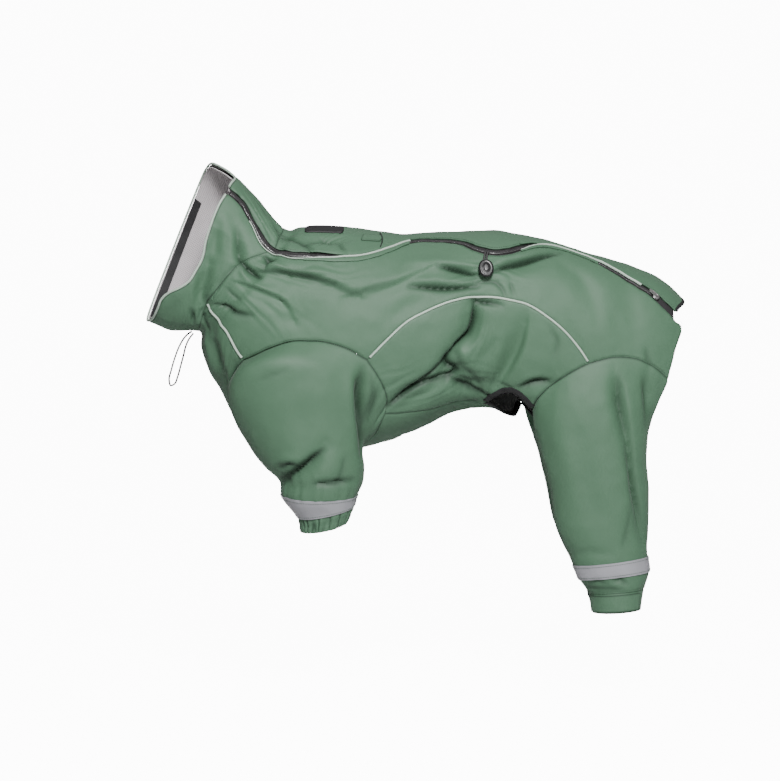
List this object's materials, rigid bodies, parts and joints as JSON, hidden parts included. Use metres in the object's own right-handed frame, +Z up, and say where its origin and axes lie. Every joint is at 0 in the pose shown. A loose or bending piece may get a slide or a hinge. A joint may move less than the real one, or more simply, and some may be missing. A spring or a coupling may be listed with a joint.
{
  "type": "dog jumpsuit",
  "caption": "Dog jumpsuit in sage green shell cloth: funnel collar, long back zip, gathered front cuffs, taped legs, bound belly and seat opening, in its hollow worn form.",
  "frame": {"origin": "the withers on the inside of the back, where the wearer carries the garment", "axes": "-X towards the head, -Y towards the dog's left side, +Z up"},
  "size_m": [0.7129, 0.2558, 0.5881],
  "materials": {
    "shell": "satin",
    "mesh_lining": "matte",
    "piping": "satin",
    "reflective": "satin",
    "binding": "matte",
    "zip_coil": "satin",
    "metal": "satin",
    "toggle": "satin",
    "cord": "matte"
  },
  "bodies": {
    "garment": {"back_panel": "shell", "belly_panel": "shell", "chest_panel": "shell", "collar_facing": "binding", "collar_lining": "mesh_lining", "collar_outer": "shell", "collar_rim_piping": "piping", "flap_binding": "binding", "front_piping_left": "piping", "front_piping_right": "piping", "label_patch": "binding", "lead_patch": "shell", "leg_binding_left": "binding", "leg_binding_right": "binding", "leg_cuff_left": "shell", "leg_cuff_right": "shell", "leg_left": "shell", "leg_right": "shell", "leg_tab_left": "shell", "leg_tab_right": "shell", "leg_tape_left": "reflective", "leg_tape_right": "reflective", "lower_side_left": "shell", "lower_side_right": "shell", "neck_cord": "cord", "opening_binding_front": "binding", "opening_binding_left": "binding", "opening_binding_right": "binding", "side_panel_left": "shell", "side_piping_left": "piping", "side_piping_right": "piping", "sleeve_cuff_left": "shell", "sleeve_cuff_right": "shell", "sleeve_left": "shell", "sleeve_right": "shell", "sleeve_tape_left": "reflective", "sleeve_tape_right": "reflective", "waist_cord_front": "cord", "waist_cord_rear": "cord", "waist_toggle": "toggle", "welt_front_lower": "shell", "welt_front_upper": "shell", "welt_piping_front": "piping", "welt_piping_rear": "piping", "welt_rear_lower": "shell", "welt_rear_upper": "shell", "zip_coil": "zip_coil", "zip_slider": "metal", "zip_tape": "binding"},
    "pull_tab": {"pull_tab": "metal"}
  },
  "joints": [
    {"name": "pull_tab_hinge", "type": "hinge", "parent": "garment", "child": "pull_tab", "pos_m": [0.42401, -0.0626, -0.08804], "axis": [0.516, 0.6591, 0.5472], "range_deg": [0, 150]}
  ]
}
